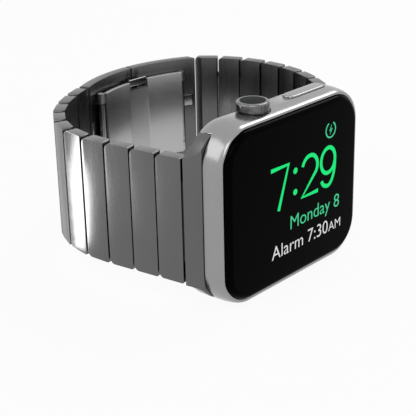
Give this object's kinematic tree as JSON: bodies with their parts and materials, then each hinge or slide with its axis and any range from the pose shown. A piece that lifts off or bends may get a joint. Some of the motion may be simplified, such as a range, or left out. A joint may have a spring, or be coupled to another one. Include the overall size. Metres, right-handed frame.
{
  "type": "smartwatch",
  "caption": "Rounded-rectangle smartwatch with crown and side button on a closed steel link bracelet, joined at the back by a butterfly clasp.",
  "frame": {"origin": "centre of the flat on the back crystal, where the watch rests on the wrist", "axes": "+X along the long side of the watch; +Y from the case back towards the clasp, with the screen facing -Y; +Z across the bracelet, crown side up"},
  "size_m": [0.0652, 0.0616, 0.0382],
  "materials": {
    "case": "polished stainless steel",
    "polished": "polished stainless steel",
    "link": "brushed across the band, edges lightly rounded",
    "glass": "black glass over a display that reaches its edges, so it reads as opaque",
    "seal": "dull",
    "display": "dark display layer",
    "back": "polished black ceramic",
    "crystal": "dark domed crystal",
    "board": "green circuit board",
    "coil": "copper-coloured winding",
    "battery": "foil-wrapped cell",
    "module": "satin",
    "speaker": "dull",
    "crown_end": "dark polished disc"
  },
  "bodies": {
    "case": {"case_housing": "case", "cover_glass": "glass", "glass_seal": "seal", "display_panel": "display", "back_cover": "back", "back_crystal": "crystal", "sensor_board": "board", "charging_coil": "coil", "logic_board": "board", "battery": "battery", "haptic_motor": "module", "speaker": "speaker", "microphone": "module", "crown_bush": "seal", "crown_encoder": "speaker", "side_switch": "speaker", "lug_left": "case", "lug_right": "case"},
    "crown_stem": {"crown_clip": "module"},
    "crown": {"crown_cap": "case", "crown_disc": "crown_end", "crown_shaft": "module"},
    "side_button": {"side_button": "case"},
    "band_release_left": {"band_release_left": "case"},
    "band_release_right": {"band_release_right": "case"},
    "link_left_1": {"link_left_1": "link"},
    "link_left_2": {"link_left_2": "link"},
    "link_left_3": {"link_left_3": "link"},
    "link_left_4": {"link_left_4": "link"},
    "link_left_5": {"link_left_5": "link"},
    "link_left_6": {"link_left_6": "link"},
    "link_left_7": {"link_left_7": "link"},
    "link_left_8": {"link_left_8": "link"},
    "link_left_9": {"link_left_9": "link"},
    "link_left_10": {"link_left_10": "link"},
    "link_right_1": {"link_right_1": "link"},
    "link_right_2": {"link_right_2": "link"},
    "link_right_3": {"link_right_3": "link"},
    "link_right_4": {"link_right_4": "link"},
    "link_right_5": {"link_right_5": "link"},
    "link_right_6": {"link_right_6": "link"},
    "link_right_7": {"link_right_7": "link"},
    "link_right_8": {"link_right_8": "link"},
    "link_right_9": {"link_right_9": "link"},
    "clasp_cover_left": {"clasp_cover_left": "link"},
    "clasp_blade_left": {"clasp_blade_left": "polished"},
    "clasp_plate": {"clasp_plate": "polished"},
    "clasp_blade_right": {"clasp_blade_right": "polished"},
    "clasp_cover_right": {"clasp_cover_right": "link"},
    "clasp_button_top": {"clasp_button_top": "polished"},
    "clasp_button_bottom": {"clasp_button_bottom": "polished"},
    "link_release_left": {"link_release_left": "polished"},
    "link_release_right": {"link_release_right": "polished"}
  },
  "joints": [
    {"name": "link_left_1_hinge", "type": "hinge", "parent": "case", "child": "link_left_1", "pos_m": [-0.0225, -0.0027, 0], "axis": [0, 0, 1], "range_deg": [0, 12]},
    {"name": "link_left_2_hinge", "type": "hinge", "parent": "link_left_1", "child": "link_left_2", "pos_m": [-0.02346, 0.00309, 0], "axis": [0, 0, 1], "range_deg": [0, 5]},
    {"name": "link_left_3_hinge", "type": "hinge", "parent": "link_left_2", "child": "link_left_3", "pos_m": [-0.02442, 0.00888, 0], "axis": [0, 0, 1], "range_deg": [0, 5]},
    {"name": "link_left_4_hinge", "type": "hinge", "parent": "link_left_3", "child": "link_left_4", "pos_m": [-0.02538, 0.01467, 0], "axis": [0, 0, 1], "range_deg": [0, 8]},
    {"name": "link_left_5_hinge", "type": "hinge", "parent": "link_left_4", "child": "link_left_5", "pos_m": [-0.0258, 0.02053, 0], "axis": [0, 0, 1], "range_deg": [0, 15]},
    {"name": "link_left_6_hinge", "type": "hinge", "parent": "link_left_5", "child": "link_left_6", "pos_m": [-0.02497, 0.02634, 0], "axis": [0, 0, 1], "range_deg": [0, 19]},
    {"name": "link_left_7_hinge", "type": "hinge", "parent": "link_left_6", "child": "link_left_7", "pos_m": [-0.02258, 0.0317, 0], "axis": [0, 0, 1], "range_deg": [0, 17]},
    {"name": "link_left_8_hinge", "type": "hinge", "parent": "link_left_7", "child": "link_left_8", "pos_m": [-0.01892, 0.03629, 0], "axis": [0, 0, 1], "range_deg": [0, 14]},
    {"name": "link_left_9_hinge", "type": "hinge", "parent": "link_left_8", "child": "link_left_9", "pos_m": [-0.01443, 0.04007, 0], "axis": [0, 0, 1], "range_deg": [0, 12]},
    {"name": "link_left_10_hinge", "type": "hinge", "parent": "link_left_9", "child": "link_left_10", "pos_m": [-0.0094, 0.04309, 0], "axis": [0, 0, 1], "range_deg": [0, 11]},
    {"name": "clasp_cover_left_hinge", "type": "hinge", "parent": "link_left_10", "child": "clasp_cover_left", "pos_m": [-0.004, 0.04541, 0], "axis": [0, 0, 1], "range_deg": [0, 8]},
    {"name": "clasp_blade_left_hinge", "type": "hinge", "parent": "clasp_cover_left", "child": "clasp_blade_left", "pos_m": [0.01185, 0.04785, 0], "axis": [0, 0, 1], "range_deg": [0, 40]},
    {"name": "clasp_wing_left", "type": "hinge", "parent": "clasp_blade_left", "child": "clasp_plate", "pos_m": [0.00069, 0.04509, 0], "axis": [0, 0, -1], "range_deg": [0, 75]},
    {"name": "clasp_wing_right", "type": "hinge", "parent": "clasp_plate", "child": "clasp_blade_right", "pos_m": [0.02532, 0.04402, 0], "axis": [0, 0, -1], "range_deg": [0, 75]},
    {"name": "clasp_cover_right_hinge", "type": "hinge", "parent": "clasp_blade_right", "child": "clasp_cover_right", "pos_m": [0.01444, 0.04774, 0], "axis": [0, 0, 1], "range_deg": [0, 8]},
    {"name": "link_right_1_hinge", "type": "hinge", "parent": "case", "child": "link_right_1", "pos_m": [0.0225, -0.0027, 0], "axis": [0, 0, -1], "range_deg": [0, 5]},
    {"name": "link_right_2_hinge", "type": "hinge", "parent": "link_right_1", "child": "link_right_2", "pos_m": [0.02651, 0.00159, 0], "axis": [0, 0, -1], "range_deg": [0, 7]},
    {"name": "link_right_3_hinge", "type": "hinge", "parent": "link_right_2", "child": "link_right_3", "pos_m": [0.0302, 0.00615, 0], "axis": [0, 0, -1], "range_deg": [0, 10]},
    {"name": "link_right_4_hinge", "type": "hinge", "parent": "link_right_3", "child": "link_right_4", "pos_m": [0.03331, 0.01113, 0], "axis": [0, 0, -1], "range_deg": [0, 12]},
    {"name": "link_right_5_hinge", "type": "hinge", "parent": "link_right_4", "child": "link_right_5", "pos_m": [0.03558, 0.01654, 0], "axis": [0, 0, -1], "range_deg": [0, 13]},
    {"name": "link_right_6_hinge", "type": "hinge", "parent": "link_right_5", "child": "link_right_6", "pos_m": [0.03688, 0.02227, 0], "axis": [0, 0, -1], "range_deg": [0, 14]},
    {"name": "link_right_7_hinge", "type": "hinge", "parent": "link_right_6", "child": "link_right_7", "pos_m": [0.03705, 0.02814, 0], "axis": [0, 0, -1], "range_deg": [0, 15]},
    {"name": "link_right_8_hinge", "type": "hinge", "parent": "link_right_7", "child": "link_right_8", "pos_m": [0.03598, 0.03391, 0], "axis": [0, 0, -1], "range_deg": [0, 16]},
    {"name": "link_right_9_hinge", "type": "hinge", "parent": "link_right_8", "child": "link_right_9", "pos_m": [0.03363, 0.03929, 0], "axis": [0, 0, -1], "range_deg": [0, 17]},
    {"name": "crown_push", "type": "slide", "parent": "case", "child": "crown_stem", "axis": [0, 0, -1], "range_m": [0, 0.0005], "stiffness_N_per_m": 900, "springref_m": -0.0002},
    {"name": "crown_spin", "type": "hinge", "parent": "crown_stem", "child": "crown", "pos_m": [-0.0068, -0.0056, 0.018], "axis": [0, 0, 1], "continuous": true},
    {"name": "side_button_press", "type": "slide", "parent": "case", "child": "side_button", "axis": [0, 0, -1], "range_m": [0, 0.0004], "stiffness_N_per_m": 900, "springref_m": -0.0002},
    {"name": "band_release_left_press", "type": "slide", "parent": "case", "child": "band_release_left", "axis": [0, -1, 0], "range_m": [0, 0.0006], "stiffness_N_per_m": 600, "springref_m": -0.0002},
    {"name": "band_release_right_press", "type": "slide", "parent": "case", "child": "band_release_right", "axis": [0, -1, 0], "range_m": [0, 0.0006], "stiffness_N_per_m": 600, "springref_m": -0.0002},
    {"name": "clasp_button_top_press", "type": "slide", "parent": "clasp_plate", "child": "clasp_button_top", "axis": [0, 0, -1], "range_m": [0, 0.0008], "stiffness_N_per_m": 500, "springref_m": -0.0002},
    {"name": "clasp_button_bottom_press", "type": "slide", "parent": "clasp_plate", "child": "clasp_button_bottom", "axis": [0, 0, 1], "range_m": [0, 0.0008], "stiffness_N_per_m": 500, "springref_m": -0.0002},
    {"name": "link_release_left_press", "type": "slide", "parent": "clasp_cover_left", "child": "link_release_left", "axis": [-0.4274, 0.9041, 0], "range_m": [0, 0.0003], "stiffness_N_per_m": 500, "springref_m": -0.0002},
    {"name": "link_release_right_press", "type": "slide", "parent": "clasp_cover_right", "child": "link_release_right", "axis": [0.5045, 0.8634, 0], "range_m": [0, 0.0003], "stiffness_N_per_m": 500, "springref_m": -0.0002}
  ],
  "couplings": [
    {"joint": "clasp_blade_left_hinge", "follows": "clasp_wing_left", "ratio": 0.5},
    {"joint": "clasp_cover_right_hinge", "follows": "clasp_wing_right", "ratio": 0.1}
  ]
}
